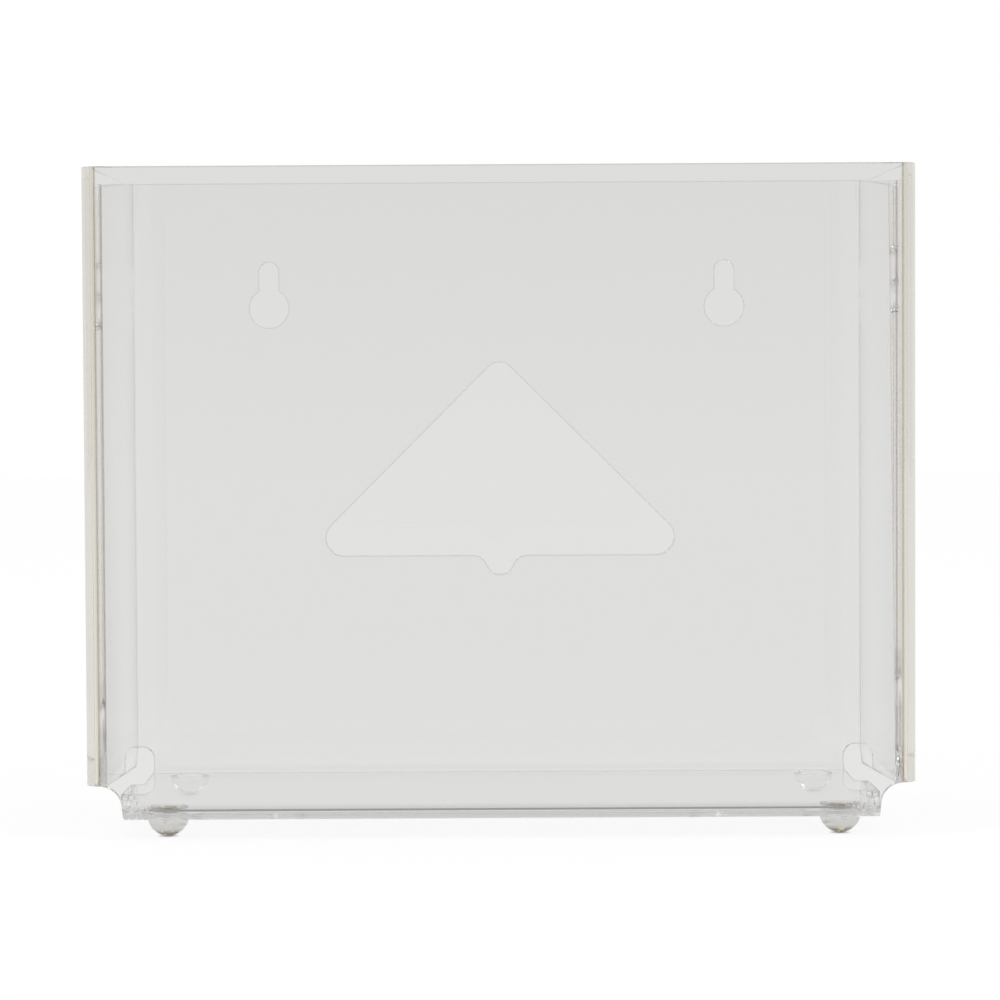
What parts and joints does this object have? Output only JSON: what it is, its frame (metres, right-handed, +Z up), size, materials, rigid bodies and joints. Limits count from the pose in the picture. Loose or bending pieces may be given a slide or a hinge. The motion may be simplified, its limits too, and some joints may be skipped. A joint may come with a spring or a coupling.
{
  "type": "wipe dispenser",
  "caption": "Clear folded acrylic box for flat wipes, open at the top, with a three-cornered hand opening in front, keyholes in the back and dome feet.",
  "frame": {"origin": "under the middle of the box, on the plane that the feet stand on", "axes": "+Z up, -Y towards the front panel with the hand opening, +X to the right as seen from the front"},
  "size_m": [0.254, 0.1016, 0.2059],
  "materials": {
    "clear_acrylic": "clear, polished",
    "clear_bumper": "clear, smooth, slightly soft"
  },
  "bodies": {
    "root": {"dispenser_body": "clear_acrylic", "foot_front_left": "clear_bumper", "foot_front_right": "clear_bumper", "foot_rear_left": "clear_bumper", "foot_rear_right": "clear_bumper"}
  },
  "joints": []
}
